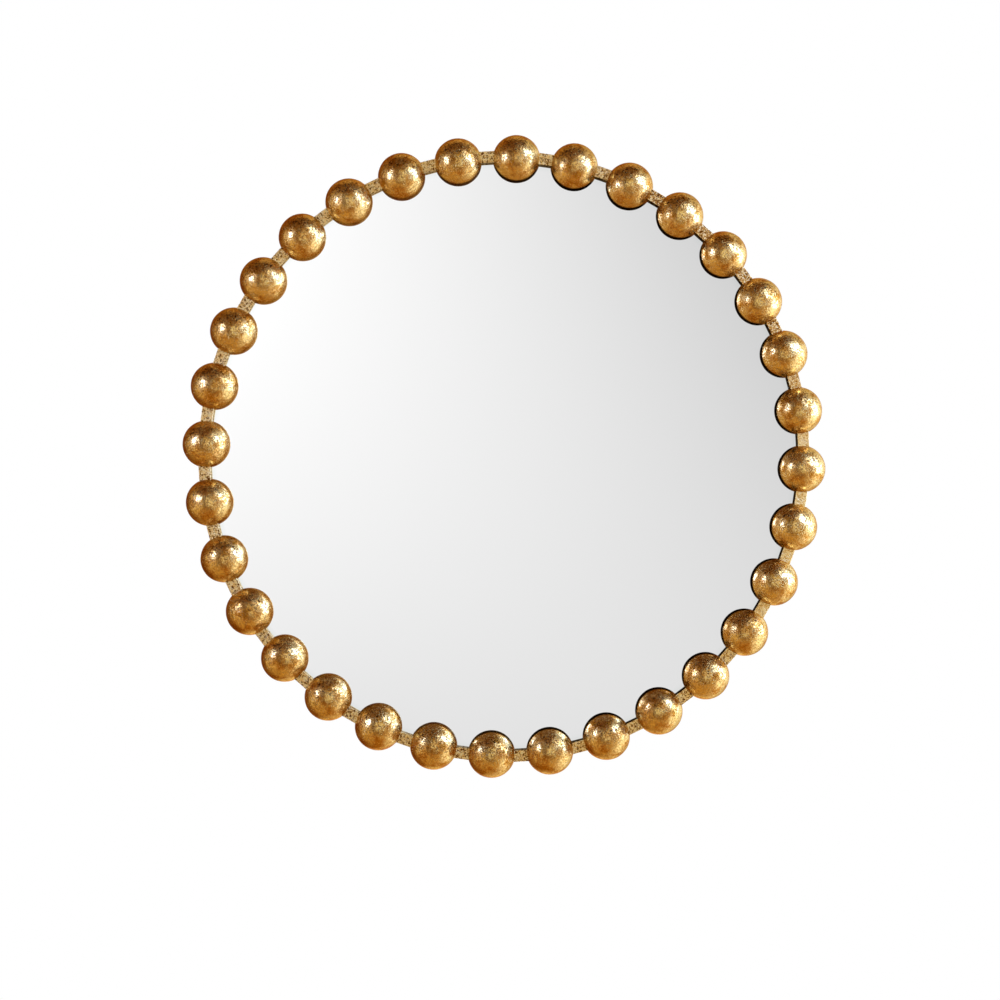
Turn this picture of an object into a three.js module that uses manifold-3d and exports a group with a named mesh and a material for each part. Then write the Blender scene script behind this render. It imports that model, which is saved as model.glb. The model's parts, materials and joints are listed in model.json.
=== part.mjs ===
// A round wall mirror framed by a ring of gold-leafed beads on a flat steel bar.
// Millimetres, +Z up. The glass faces -Y and the wall lies at y = 0.
// The origin is on the wall, midway between the two hooks that the hanger loops go over.

import * as THREE from "three";
import { mergeVertices } from "three/addons/utils/BufferGeometryUtils.js";
import Module from "manifold-3d";

const wasm = await Module();
wasm.setup();

// Beads, and the bar that carries them
const beadCount = 32;
const beadDiameter = 51.5;
const beadCircleDiameter = 647; // through the bead centres
const firstBeadAngle = 2.4; // degrees clockwise from the top, seen from the front
const barWidth = 12.7; // across, from the mirror's side to the outside
const barDepth = 6.35; // front to back
const barOffset = 1.4; // the bar's centre line runs this far outside the bead centres

// The layers behind the bar, and the hoop round them
const gasketThickness = 1;
const gasketSetback = 1; // from the bar's inner face to the gasket's inner edge
const glassThickness = 4;
const boardThickness = 9;
const hoopThickness = 2.5;
const hoopSetback = 1.3; // from the bar's outer face to the hoop's outer face

// Tabs bent over the board
const tabCount = 8;
const tabThickness = 1;
const tabWidth = 12;
const tabReach = 16; // over the back of the board
const tabLeg = 8; // between the board's edge and the hoop
const tabBend = 1; // inside radius of the bend

// Hangers: a folded strap and a loop of wire that swings in its knuckle
const hangerSpacing = 400;
const hangerHeight = 170; // from the mirror's centre up to the hinge
const strapSheet = 1.2;
const strapWidth = 14;
const strapLength = 52; // from the hinge to the lower end
const strapNeck = 7; // from the hinge to where the two layers lie flat
const wireDiameter = 3;
const wireClearance = 0.3; // all round the wire in the knuckle
const loopWidth = 25; // between wire centres
const loopLength = 18.5; // from the hinge to the wire's centre at the crown
const loopCorner = 3.5;
const loopButt = 0.3; // between the wire's two ends, inside the knuckle

// Screws through the straps
const screwCount = 2; // in each strap
const screwDiameter = 3.4;
const screwLength = 9; // under the head
const screwPoint = 2.5;
const screwHeadDiameter = 7.4;
const screwHeadHeight = 2.2;
const screwSpacing = 15;
const lastScrewInset = 7; // from the strap's lower end
const screwHoleClearance = 0.3;

// Rubber bumpers on the back of the board
const bumperDiameter = 20;
const bumperHeight = 7;
const bumperBevel = 1.5;
const bumperInset = 40; // from the board's edge to the bumper's centre
const bumperAngle = 35; // degrees either side of the top and of the bottom

// Between pieces that touch
const fitGap = 0.3;

// Fineness of the round shapes
const facetsPerBead = 3; // of the bar, so that one flat length spans each gap between beads
const beadFacets = 16;
const beadRows = 7;
const wireSides = 8;
const wireSteps = 34;
const screwFacets = 10;
const bumperFacets = 14;
const bendFacets = 2;
const strapFacets = 6; // round each half turn of the strap

// Radii and depths worked out from the sizes above
const degree = Math.PI / 180;
const beadRadius = beadDiameter / 2;
const beadCircleRadius = beadCircleDiameter / 2;
const beadPitch = (2 * Math.PI) / beadCount;
const firstBead = firstBeadAngle * degree;
const ringFacets = beadCount * facetsPerBead;
const barInner = beadCircleRadius + barOffset - barWidth / 2;
const barOuter = barInner + barWidth;
const hoopOuter = barOuter - hoopSetback;
const hoopInner = hoopOuter - hoopThickness;
const boardRadius = hoopInner - tabThickness - 2 * fitGap;
const wireRadius = wireDiameter / 2;
const knuckleBore = wireRadius + wireClearance;
const knuckleRadius = knuckleBore + strapSheet;
const strapThickness = 2 * strapSheet;

const boardBack = -bumperHeight - fitGap;
const boardFront = boardBack - boardThickness;
const glassBack = boardFront - fitGap;
const glassFront = glassBack - glassThickness;
const gasketBack = glassFront - fitGap;
const gasketFront = gasketBack - gasketThickness;
const barBack = gasketFront - fitGap;
const barFront = barBack - barDepth;
const strapBack = boardBack + fitGap;
const screwSeat = strapThickness + fitGap; // from the strap's back layer
const screwTip = screwSeat - screwLength;

// With the loops turned up, the hooks bear on the inside of each crown.
const hookHeight = hangerHeight + loopLength - wireRadius;

const leafOnResin = new THREE.MeshStandardMaterial({
  color: "#b07a35",
  roughness: 0.3,
  metalness: 0.9,
});
const leafOnSteel = new THREE.MeshStandardMaterial({
  color: "#c0965a",
  roughness: 0.45,
  metalness: 0.9,
});
const bronzePaint = new THREE.MeshStandardMaterial({
  color: "#6b5230",
  roughness: 0.6,
  metalness: 0.4,
});
const silvering = new THREE.MeshStandardMaterial({
  color: "#e6e8e8",
  roughness: 0.03,
  metalness: 1,
});
const blackFoam = new THREE.MeshStandardMaterial({
  color: "#1b1b1b",
  roughness: 0.9,
  metalness: 0,
});
const fibreboard = new THREE.MeshStandardMaterial({
  color: "#8a6a48",
  roughness: 0.85,
  metalness: 0,
});
const zincPlate = new THREE.MeshStandardMaterial({
  color: "#b4b6b8",
  roughness: 0.35,
  metalness: 0.9,
});
const blackRubber = new THREE.MeshStandardMaterial({
  color: "#222222",
  roughness: 0.8,
  metalness: 0,
});

function solidOf(geometry) {
  const bare = geometry.clone();
  bare.deleteAttribute("normal");
  bare.deleteAttribute("uv");
  const merged = mergeVertices(bare);
  return new wasm.Manifold(
    new wasm.Mesh({
      numProp: 3,
      vertProperties: new Float32Array(merged.attributes.position.array),
      triVerts: new Uint32Array(merged.index.array),
    }),
  );
}

function geometryOf(solid) {
  const mesh = solid.getMesh();
  const geometry = new THREE.BufferGeometry();
  geometry.setAttribute("position", new THREE.BufferAttribute(mesh.vertProperties, 3));
  geometry.setIndex(new THREE.BufferAttribute(mesh.triVerts, 1));
  geometry.computeVertexNormals();
  return geometry;
}

function cut(geometry, tools) {
  const rest = tools.reduce((solid, tool) => solid.subtract(solidOf(tool)), solidOf(geometry));
  return geometryOf(rest);
}

function common(geometry, other) {
  return geometryOf(solidOf(geometry).intersect(solidOf(other)));
}

// A profile of [radius, y] pairs turned round the Y axis.
function turned(profile, facets, start = 0) {
  const points = profile.map(([radius, y]) => new THREE.Vector2(radius, y));
  return new THREE.LatheGeometry(points, facets, start);
}

function hoopOf(inner, outer, front, back) {
  const section = [
    [inner, front],
    [outer, front],
    [outer, back],
    [inner, back],
    [inner, front],
  ];
  return turned(section, ringFacets);
}

function discOf(radius, front, back, start = 0) {
  const section = [
    [0, front],
    [radius, front],
    [radius, back],
    [0, back],
  ];
  return turned(section, ringFacets, start);
}

// An outline whose first coordinate runs up and whose second runs back to the wall, as wide as
// the piece is from side to side.
function strip(outline, width, facets) {
  const geometry = new THREE.ExtrudeGeometry(outline, {
    depth: width,
    bevelEnabled: false,
    curveSegments: facets,
  });
  geometry.translate(0, 0, -width / 2);
  geometry.rotateY(-Math.PI / 2);
  return geometry;
}

function add(parent, name, geometry, material) {
  const mesh = new THREE.Mesh(geometry, material);
  mesh.name = name;
  parent.add(mesh);
  return mesh;
}

// A half ball with its flat back flush with the bar's, and a channel across that back in which
// the curved bar lies. It is shaped at the top of the ring.
function beadGeometry() {
  const profile = [];
  for (let row = 0; row <= beadRows; row += 1) {
    const angle = ((Math.PI / 2) * row) / beadRows;
    profile.push([beadRadius * Math.sin(angle), barBack - beadRadius * Math.cos(angle)]);
  }
  profile.push([0, barBack]);
  const ball = turned(profile, beadFacets);
  ball.translate(0, 0, beadCircleRadius);
  const openBack = barBack + beadRadius;
  const channel = hoopOf(barInner - fitGap, barOuter + fitGap, barFront - fitGap, openBack);
  return cut(ball, [channel]);
}

// The tab's leg stands against a flat of the hoop, and its tongue lies on the board.
function tabGeometry() {
  const flat = Math.cos(Math.PI / ringFacets);
  const outside = hoopInner * flat - fitGap;
  const inside = outside - tabThickness;
  const seat = boardBack + fitGap;
  const back = seat + tabThickness;
  const outerBend = tabBend + tabThickness;
  const outline = new THREE.Shape();
  outline.moveTo(outside, seat - tabLeg);
  outline.lineTo(outside, back - outerBend);
  outline.absarc(outside - outerBend, back - outerBend, outerBend, 0, Math.PI / 2, false);
  outline.lineTo(outside - tabReach, back);
  outline.lineTo(outside - tabReach, seat);
  outline.lineTo(inside - tabBend, seat);
  outline.absarc(inside - tabBend, seat - tabBend, tabBend, Math.PI / 2, 0, true);
  outline.lineTo(inside, seat - tabLeg);
  return strip(outline, tabWidth, bendFacets);
}

// A strip folded round the wire: the knuckle at the hinge, then two layers flat on the board,
// with a round lower end.
function strapGeometry() {
  const outline = new THREE.Shape();
  outline.moveTo(-strapLength, 0);
  outline.lineTo(-strapLength, strapThickness);
  outline.lineTo(-strapNeck, strapThickness);
  outline.bezierCurveTo(
    -strapNeck / 2,
    strapThickness,
    -strapNeck / 2,
    2 * knuckleRadius,
    0,
    2 * knuckleRadius,
  );
  outline.absarc(0, knuckleRadius, knuckleRadius, Math.PI / 2, -Math.PI / 2, true);
  const bore = new THREE.Path();
  bore.absarc(0, knuckleRadius, knuckleBore, 0, 2 * Math.PI, false);
  outline.holes.push(bore);
  const rounded = common(strip(outline, strapWidth, strapFacets), strapPlan());
  return cut(rounded, screwDrops().map((drop) => pilot(0, -drop, -fitGap, screwSeat)));
}

// The strap's outline as it is seen from the wall, deep enough to hold the knuckle.
function strapPlan() {
  const half = strapWidth / 2;
  const plan = new THREE.Shape();
  plan.moveTo(half + fitGap, 2 * knuckleRadius);
  plan.lineTo(-half - fitGap, 2 * knuckleRadius);
  plan.lineTo(-half - fitGap, half - strapLength);
  plan.lineTo(-half, half - strapLength);
  plan.absarc(0, half - strapLength, half, Math.PI, 2 * Math.PI, false);
  plan.lineTo(half + fitGap, half - strapLength);
  const geometry = new THREE.ExtrudeGeometry(plan, {
    depth: 4 * knuckleRadius,
    bevelEnabled: false,
    curveSegments: strapFacets,
  });
  geometry.rotateX(Math.PI / 2);
  geometry.translate(0, 3 * knuckleRadius, 0);
  return geometry;
}

// The straps' screws, as distances below the hinge, from the upper one to the lower one.
function screwDrops() {
  const lastDrop = strapLength - lastScrewInset;
  const firstDrop = lastDrop - (screwCount - 1) * screwSpacing;
  return Array.from({ length: screwCount }, (unused, i) => firstDrop + i * screwSpacing);
}

// The space that a screw's shank goes through, from one depth to another.
function pilot(x, z, from, to) {
  const radius = screwDiameter / 2 + screwHoleClearance;
  const hole = turned([[0, from], [radius, from], [radius, to], [0, to]], screwFacets);
  hole.translate(x, 0, z);
  return hole;
}

// The wire runs from the middle of its straight side, round the crown and back, where its two
// ends meet inside the knuckle. It hangs down, and its crown rests on the strap.
function loopGeometry() {
  const half = loopWidth / 2;
  const path = new THREE.Path();
  path.moveTo(loopButt / 2, 0);
  path.lineTo(half - loopCorner, 0);
  path.absarc(half - loopCorner, -loopCorner, loopCorner, Math.PI / 2, 0, true);
  path.lineTo(half, half - loopLength);
  path.absarc(0, half - loopLength, half, 0, -Math.PI, true);
  path.lineTo(-half, -loopCorner);
  path.absarc(loopCorner - half, -loopCorner, loopCorner, Math.PI, Math.PI / 2, true);
  path.lineTo(-loopButt / 2, 0);
  const points = path.getSpacedPoints(wireSteps);
  const line = new THREE.CatmullRomCurve3(points.map((p) => new THREE.Vector3(p.x, 0, p.y)));
  const section = new THREE.Shape();
  section.absarc(0, 0, wireRadius, 0, 2 * Math.PI, false);
  return new THREE.ExtrudeGeometry(section, {
    steps: wireSteps,
    curveSegments: wireSides / 2,
    extrudePath: line,
  });
}

// How far the hanging loop leans out from the strap, so that its wire clears the strap's edges.
function loopLean() {
  const half = loopWidth / 2;
  const reach = loopLength - half + Math.sqrt(half ** 2 - (strapWidth / 2) ** 2);
  const rise = strapThickness + fitGap + wireRadius - knuckleRadius;
  return Math.asin(rise / reach);
}

function screwGeometry() {
  const radius = screwDiameter / 2;
  const head = screwHeadDiameter / 2;
  return turned(
    [
      [0, -screwLength],
      [radius, screwPoint - screwLength],
      [radius, 0],
      [head, 0],
      [head, screwHeadHeight / 2],
      [head / 2, screwHeadHeight],
      [0, screwHeadHeight],
    ],
    screwFacets,
  );
}

function bumperGeometry() {
  const radius = bumperDiameter / 2;
  return turned(
    [
      [0, -bumperHeight],
      [radius, -bumperHeight],
      [radius, -bumperBevel],
      [radius - bumperBevel, 0],
      [0, 0],
    ],
    bumperFacets,
  );
}

// The board has a blind hole for each screw's point.
function boardGeometry(hangers) {
  const disc = discOf(boardRadius, boardFront, boardBack, firstBead);
  const bottom = strapBack + screwTip - fitGap;
  const holes = hangers.flatMap(({ x }) =>
    screwDrops().map((drop) => pilot(x, hangerHeight - drop, bottom, strapBack)),
  );
  return cut(disc, holes);
}

// Everything is placed from the mirror's centre, and the whole then hangs from the hooks.
const mirror = new THREE.Group();
mirror.position.z = -hookHeight;

const frame = new THREE.Group();
frame.rotation.y = firstBead;
mirror.add(frame);

add(frame, "bar_ring", hoopOf(barInner, barOuter, barFront, barBack), leafOnSteel);
add(frame, "rear_hoop", hoopOf(hoopInner, hoopOuter, barBack + fitGap, boardBack), bronzePaint);
const gasketInner = barInner + gasketSetback;
add(frame, "foam_gasket", hoopOf(gasketInner, boardRadius, gasketFront, gasketBack), blackFoam);
add(frame, "mirror_glass", discOf(boardRadius, glassFront, glassBack), silvering);

const beadShape = beadGeometry();
for (let i = 0; i < beadCount; i += 1) {
  const name = "bead_" + String(i + 1).padStart(2, "0");
  add(frame, name, beadShape, leafOnResin).rotation.y = i * beadPitch;
}

// Each tab stands behind the middle of a gap between two beads.
const tabShape = tabGeometry();
for (let i = 0; i < tabCount; i += 1) {
  const turn = beadPitch / 2 + (i * 2 * Math.PI) / tabCount;
  add(frame, "board_tab_" + (i + 1), tabShape, zincPlate).rotation.y = turn;
}

const hangers = [
  { side: "left", x: -hangerSpacing / 2 },
  { side: "right", x: hangerSpacing / 2 },
];
add(mirror, "backing_board", boardGeometry(hangers), fibreboard);

const strapShape = strapGeometry();
const loopShape = loopGeometry();
const screwShape = screwGeometry();
for (const { side, x } of hangers) {
  const hanger = new THREE.Group();
  hanger.position.set(x, strapBack, hangerHeight);
  mirror.add(hanger);
  add(hanger, side + "_hanger_strap", strapShape, zincPlate);
  const loop = add(hanger, side + "_hanger_loop", loopShape, zincPlate);
  loop.position.y = knuckleRadius;
  loop.rotation.x = loopLean();
  screwDrops().forEach((drop, i) => {
    const screw = add(hanger, side + "_hanger_screw_" + (i + 1), screwShape, zincPlate);
    screw.position.set(0, screwSeat, -drop);
  });
}

const bumperShape = bumperGeometry();
const bumperCircle = boardRadius - bumperInset;
const bumperTurns = [bumperAngle, 180 - bumperAngle, 180 + bumperAngle, 360 - bumperAngle];
bumperTurns.forEach((turn, i) => {
  const bumper = add(mirror, "wall_bumper_" + (i + 1), bumperShape, blackRubber);
  bumper.position.x = bumperCircle * Math.sin(turn * degree);
  bumper.position.z = bumperCircle * Math.cos(turn * degree);
});

const part = new THREE.Group();
part.add(mirror);

export default part;
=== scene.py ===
import json
import math
import random

import bmesh
import bpy
from mathutils import Matrix, Vector, noise


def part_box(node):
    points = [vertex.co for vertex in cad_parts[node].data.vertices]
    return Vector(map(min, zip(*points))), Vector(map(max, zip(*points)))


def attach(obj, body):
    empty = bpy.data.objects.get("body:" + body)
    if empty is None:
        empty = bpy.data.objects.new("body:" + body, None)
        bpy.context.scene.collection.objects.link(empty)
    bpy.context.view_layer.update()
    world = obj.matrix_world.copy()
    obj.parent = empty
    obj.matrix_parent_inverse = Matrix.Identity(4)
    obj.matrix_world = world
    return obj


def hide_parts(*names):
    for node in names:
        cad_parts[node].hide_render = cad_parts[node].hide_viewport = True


# Beaded wall mirror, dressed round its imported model. Metres, +Z up, the glass faces -Y, the wall is at y = 0.
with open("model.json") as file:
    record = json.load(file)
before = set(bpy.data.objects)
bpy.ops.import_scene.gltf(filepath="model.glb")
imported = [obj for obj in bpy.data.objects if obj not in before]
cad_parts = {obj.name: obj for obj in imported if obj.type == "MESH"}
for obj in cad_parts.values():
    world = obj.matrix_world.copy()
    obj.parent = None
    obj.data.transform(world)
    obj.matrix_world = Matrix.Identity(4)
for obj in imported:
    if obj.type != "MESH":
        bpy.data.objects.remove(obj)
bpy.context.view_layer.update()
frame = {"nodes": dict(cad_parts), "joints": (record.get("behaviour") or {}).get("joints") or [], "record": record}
nodes = frame["nodes"]
mm = 0.001


# Helpers, and settings that many nodes share

smooth = {"interpolation_type": "SMOOTHSTEP"}
multiply = {"operation": "MULTIPLY"}
multiplyAdd = {"operation": "MULTIPLY_ADD"}
subtract = {"operation": "SUBTRACT"}
dotProduct = {"operation": "DOT_PRODUCT"}
vectorLength = {"operation": "LENGTH"}
ofColours = {"data_type": "RGBA"}
white = (1, 1, 1, 1)


def linear(hexColour):
    channels = [int(hexColour[i:i + 2], 16) / 255 for i in (1, 3, 5)]
    lit = [c / 12.92 if c <= 0.04045 else ((c + 0.055) / 1.055) ** 2.4 for c in channels]
    return (*lit, 1.0)


def addNode(tree, kind, settings=None, inputs=()):
    # Inputs go by name, or as a list in the order that the node shows them. A node given as an input is
    # linked by the first output that it shows.
    node = tree.nodes.new("ShaderNode" + kind)
    for name, value in (settings or {}).items():
        if name == "stops":  # a colour ramp's stops, as (position, colour)
            ramp = node.color_ramp.elements
            while len(ramp) < len(value):
                ramp.new(0.5)
            for stop, (position, colour) in zip(ramp, value):
                stop.position = position
                stop.color = colour
        else:
            setattr(node, name, value)
    if isinstance(inputs, dict):
        filled = [(node.inputs[name], value) for name, value in inputs.items()]
    else:
        filled = zip([socket for socket in node.inputs if socket.enabled], inputs)
    for socket, value in filled:
        if isinstance(value, bpy.types.Node):
            value = next(output for output in value.outputs if output.enabled)
        if isinstance(value, bpy.types.NodeSocket):
            tree.links.new(value, socket)
        else:
            socket.default_value = value
    return node


def newMaterial(name):
    material = bpy.data.materials.new(name)
    material.use_nodes = True
    material.node_tree.nodes.clear()
    return material, material.node_tree


def drawnOut(tree, place, turn, length, width):
    # Noise drawn out into streaks of that length and width in mm, turned by degrees about the Y axis.
    turned = addNode(tree, "VectorRotate", {"rotation_type": "Y_AXIS"},
                     {"Vector": place, "Angle": math.radians(turn)})
    scaled = addNode(tree, "VectorMath", multiply, [turned, (1000 / length, 1000 / width, 1000 / width)])
    return addNode(tree, "TexNoise", {}, {"Vector": scaled, "Scale": 1.0, "Detail": 2.0})


def newObject(name, data):
    made = bpy.data.objects.new(name, data)
    bpy.context.scene.collection.objects.link(made)
    return made


def newPiece(name, mesh, materials, place):
    piece = newObject(name, mesh)
    for material in materials if isinstance(materials, list) else [materials]:
        mesh.materials.append(material)
    piece.matrix_world = place
    return piece


def dress(name, material):
    node = nodes[name]
    node.material_slots[0].material = material
    return node


def addModifier(piece, kind, **settings):
    modifier = piece.modifiers.new(kind.title().replace("_", ""), kind)
    for name, value in settings.items():
        setattr(modifier, name, value)


def easeEdges(node, width, segments=3):
    addModifier(node, "WELD", merge_threshold=0.01 * mm)
    addModifier(node, "BEVEL", width=width, segments=segments, limit_method="ANGLE",
                angle_limit=math.radians(40))


def smoothMesh(mesh, sharpAngle=35):
    mesh.shade_smooth()
    mesh.set_sharp_from_angle(angle=math.radians(sharpAngle))


def meshFrom(bm, name):
    mesh = bpy.data.meshes.new(name)
    bm.to_mesh(mesh)
    bm.free()
    return mesh


def lathed(name, profile, sides):
    # A profile of (radius, y) pairs turned round the Y axis, from axis to axis.
    bm = bmesh.new()
    rings = []
    for radius, y in profile:
        if radius == 0:
            rings.append([bm.verts.new((0, y, 0))])
            continue
        turns = [2 * math.pi * i / sides for i in range(sides)]
        rings.append([bm.verts.new((radius * math.sin(a), y, radius * math.cos(a))) for a in turns])
    for near, far in zip(rings, rings[1:]):
        for i in range(sides):
            j = (i + 1) % sides
            corners = [near[i % len(near)], near[j % len(near)], far[j % len(far)], far[i % len(far)]]
            bm.faces.new(list(dict.fromkeys(corners)))
    bmesh.ops.recalc_face_normals(bm, faces=bm.faces)
    return meshFrom(bm, name)


def cutMesh(mesh, cutter):
    # The mesh less the cutter, by Blender's exact boolean.
    piece, tool = newObject("cutting", mesh), newObject("cutter", cutter)
    addModifier(piece, "BOOLEAN", operation="DIFFERENCE", solver="EXACT", object=tool)
    evaluated = piece.evaluated_get(bpy.context.evaluated_depsgraph_get())
    cut = bpy.data.meshes.new_from_object(evaluated)
    for each in (piece, tool):
        bpy.data.objects.remove(each)
    return cut


# What the frame says of the ring

def ringOf(name):
    # (inner radius, outer radius, front, back) of a node turned round the mirror's axis.
    points = [v.co for v in nodes[name].data.vertices]
    radii = [math.hypot(p.x, p.z - ringCentre.z) for p in points]
    depths = [p.y for p in points]
    return min(radii), max(radii), min(depths), max(depths)


barLow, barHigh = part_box("bar_ring")
ringCentre = (barLow + barHigh) / 2
barInner, barOuter, barFront, barBack = ringOf("bar_ring")
barMiddle = (barInner + barOuter) / 2
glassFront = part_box("mirror_glass")[0].y
beadNames = sorted(name for name in nodes if name.startswith("bead_"))
beadRadius = 25.75 * mm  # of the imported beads
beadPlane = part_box(beadNames[0])[0].y + beadRadius
print("frame read:", len(nodes), "nodes,", len(beadNames), "beads")


# Camera, as the photograph was taken: square to the glass, a little below its middle

cameraSetup = {
    "x": -4.3 * mm,
    "z": -234.2 * mm,
    "distance": 2400 * mm,  # from the plane of the bead centres
    "lens": 79.55,
    "sensor": 36,
    "clip": (0.05, 60),
}


def placeCamera(setup):
    data = bpy.data.cameras.new("camera")
    data.lens = setup["lens"]
    data.sensor_width = setup["sensor"]
    data.clip_start, data.clip_end = setup["clip"]
    camera = newObject("camera", data)
    camera.location = (setup["x"], beadPlane - setup["distance"], setup["z"])
    camera.rotation_euler = (math.radians(90), 0, 0)
    bpy.context.scene.camera = camera
    return camera


camera = placeCamera(cameraSetup)


# Studio: soft boxes, cards and a room seen only in reflections, a pale floor and a white world.
# Distances and sizes are in metres, angles in degrees.

softBoxes = [
    {"name": "keyBox", "azimuth": 64, "elevation": 26, "roll": -20, "distance": 1.7,
     "size": (1.25, 0.86), "level": 6.6, "colour": "#B0CEFC"},
    {"name": "lowBox", "azimuth": 88, "elevation": 1, "roll": -10, "distance": 1.7,
     "size": (0.95, 0.84), "level": 5.8, "colour": "#B0CEFC"},
    {"name": "sideBox", "azimuth": -58, "elevation": 13, "roll": 0, "distance": 2.0,
     "size": (0.6, 0.76), "level": 9.2, "colour": "#C0D0FC"},
    {"name": "rimBox", "azimuth": 132, "elevation": 4, "roll": 0, "distance": 2.6,
     "size": (1.7, 2.6), "level": 1.0, "colour": "#B0CEFC"},
]

cardDistance = 3.0

cards = [  # dark flags in front of the mirror, and two bright cards above it
    {"name": "tallFlag", "azimuth": -24, "elevation": 3,
     "size": (0.85, 3.9), "colour": "#4A2C0E", "level": 1.0},
    {"name": "lowFlag", "azimuth": 3, "elevation": -33,
     "size": (2.1, 0.8), "colour": "#70481E", "level": 1.0},
    {"name": "rightFlag", "azimuth": 42, "elevation": -9,
     "size": (0.85, 1.7), "colour": "#9C6E38", "level": 1.0},
    {"name": "upperCard", "azimuth": 40, "elevation": 44,
     "size": (1.1, 0.7), "colour": "#FFF0D8", "level": 1.8},
    {"name": "topCard", "azimuth": 112, "elevation": 46,
     "size": (3.0, 1.7), "colour": "#DCC8A0", "level": 1.1},
]

frontCard = {
    "distance": 330 * mm,  # from the camera back to the card
    "left": -0.73,
    "right": 1.2,
    "bottom": -1.15,
    "top": 0.98,
    "glassRadius": 284.5 * mm,  # of the glass in sight; its image on the card is the tone's unit of length
    "tone": {  # what the glass shows, as a sum of terms across and down
        "middle": 0.842,
        "across": -0.1345,
        "acrossTwice": -0.018,
        "down": -0.027,
        "downTwice": -0.039,
        "acrossDown": 0.107,
    },
    "reflectance": 0.92,  # of the glass, which shows its tone
    "warm": "#E4D2A8",  # what the gilding sees of it
    "level": 1.07,
    "fade": 0.7,  # its level at the lower edge
    "fadeRange": (0.1, 1.9),  # below the middle
}

room = {
    "radius": 4.6,
    "heights": [  # from the floor side to the ceiling side, as heights over the radius
        (-1.0, "#BA8739"), (-0.7, "#B48646"), (-0.4, "#CDA968"), (0.0, "#C4A066"),
        (0.4, "#AD8A46"), (0.7, "#744E24"), (0.92, "#68441E"),
    ],
    "rear": [  # behind the mirror, along rearLean
        (-0.9, "#76481A"), (-0.5, "#9C6A2E"), (0.0, "#B48444"), (0.4, "#D6AE70"),
    ],
    "rearLean": (1.0, 0.0, 0.35),
    "rearRange": (0.0, 0.4),  # depths over the radius between which the rear tones take over
    "rightWall": "#FFF3D8",
    "wallAim": (1.0, 0.8, -0.5),
    "wallRange": (0.44, 0.85),
    "wallHeights": (0.68, 0.95),  # between which the wall ends, above and below
    "wallEnd": 0.15,  # what is left of it there
    "level": 1.15,
    "wallLevel": 1.55,
    "opening": {"behind": 0.35, "right": 0.2, "height": 0.75},  # over the radius
}

fill = 0.42  # the world's level on what isn't shiny

floor = {
    "drop": 1.6,
    "ahead": 0.4,
    "radius": 3.0,
    "paint": "#F4EDDC",  # a warm white, plain under the cool lamps
    "fadeRange": (0.8, 2.85),  # from its middle
}


def aimed(azimuth, elevation, distance, roll=0):
    # A place round the mirror, facing its centre: azimuth 0 is in front of it and 90 to its right.
    a, e = math.radians(azimuth), math.radians(elevation)
    out = Vector((math.sin(a) * math.cos(e), -math.cos(a) * math.cos(e), math.sin(e)))
    turn = out.to_track_quat("Z", "Y").to_matrix().to_4x4() @ Matrix.Rotation(math.radians(roll), 4, "Z")
    return Matrix.Translation(ringCentre + out * distance) @ turn


def addSoftBox(box):
    data = bpy.data.lights.new(box["name"], "AREA")
    data.shape = "RECTANGLE"
    data.size, data.size_y = box["size"]
    data.energy = box["level"] * math.pi * box["size"][0] * box["size"][1]
    data.color = linear(box["colour"])[:3]
    lamp = newObject(box["name"], data)
    lamp.matrix_world = aimed(box["azimuth"], box["elevation"], box["distance"], box["roll"])
    lamp.visible_camera = False


def onlyReflected(piece):
    for ray in ("camera", "diffuse", "shadow", "transmission", "volume_scatter"):
        setattr(piece, "visible_" + ray, False)


def cardMesh(name, left, right, bottom, top):
    mesh = bpy.data.meshes.new(name)
    corners = [(left, bottom, 0), (right, bottom, 0), (right, top, 0), (left, top, 0)]
    mesh.from_pydata(corners, [], [(0, 1, 2, 3)])
    return mesh


def clearLook(tree):
    # 1 where the camera looks straight into the mirror glass, 0 in the gilding's reflections.
    path = addNode(tree, "LightPath")
    first = addNode(tree, "Math", {"operation": "LESS_THAN"}, [path.outputs["Ray Depth"], 1.5])
    return addNode(tree, "Math", multiply, [path.outputs["Is Singular Ray"], first])


def hiddenFromGlass(tree, shader):
    through = addNode(tree, "BsdfTransparent")
    return addNode(tree, "MixShader", {}, [clearLook(tree), shader, through])


def addCard(card):
    material, tree = newMaterial(card["name"])
    glow = addNode(tree, "Emission", {}, {"Color": linear(card["colour"]), "Strength": card["level"]})
    addNode(tree, "OutputMaterial", {}, [hiddenFromGlass(tree, glow)])
    w, h = card["size"][0] / 2, card["size"][1] / 2
    place = aimed(card["azimuth"], card["elevation"], cardDistance)
    onlyReflected(newPiece(card["name"], cardMesh(card["name"], -w, w, -h, h), material, place))


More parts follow.
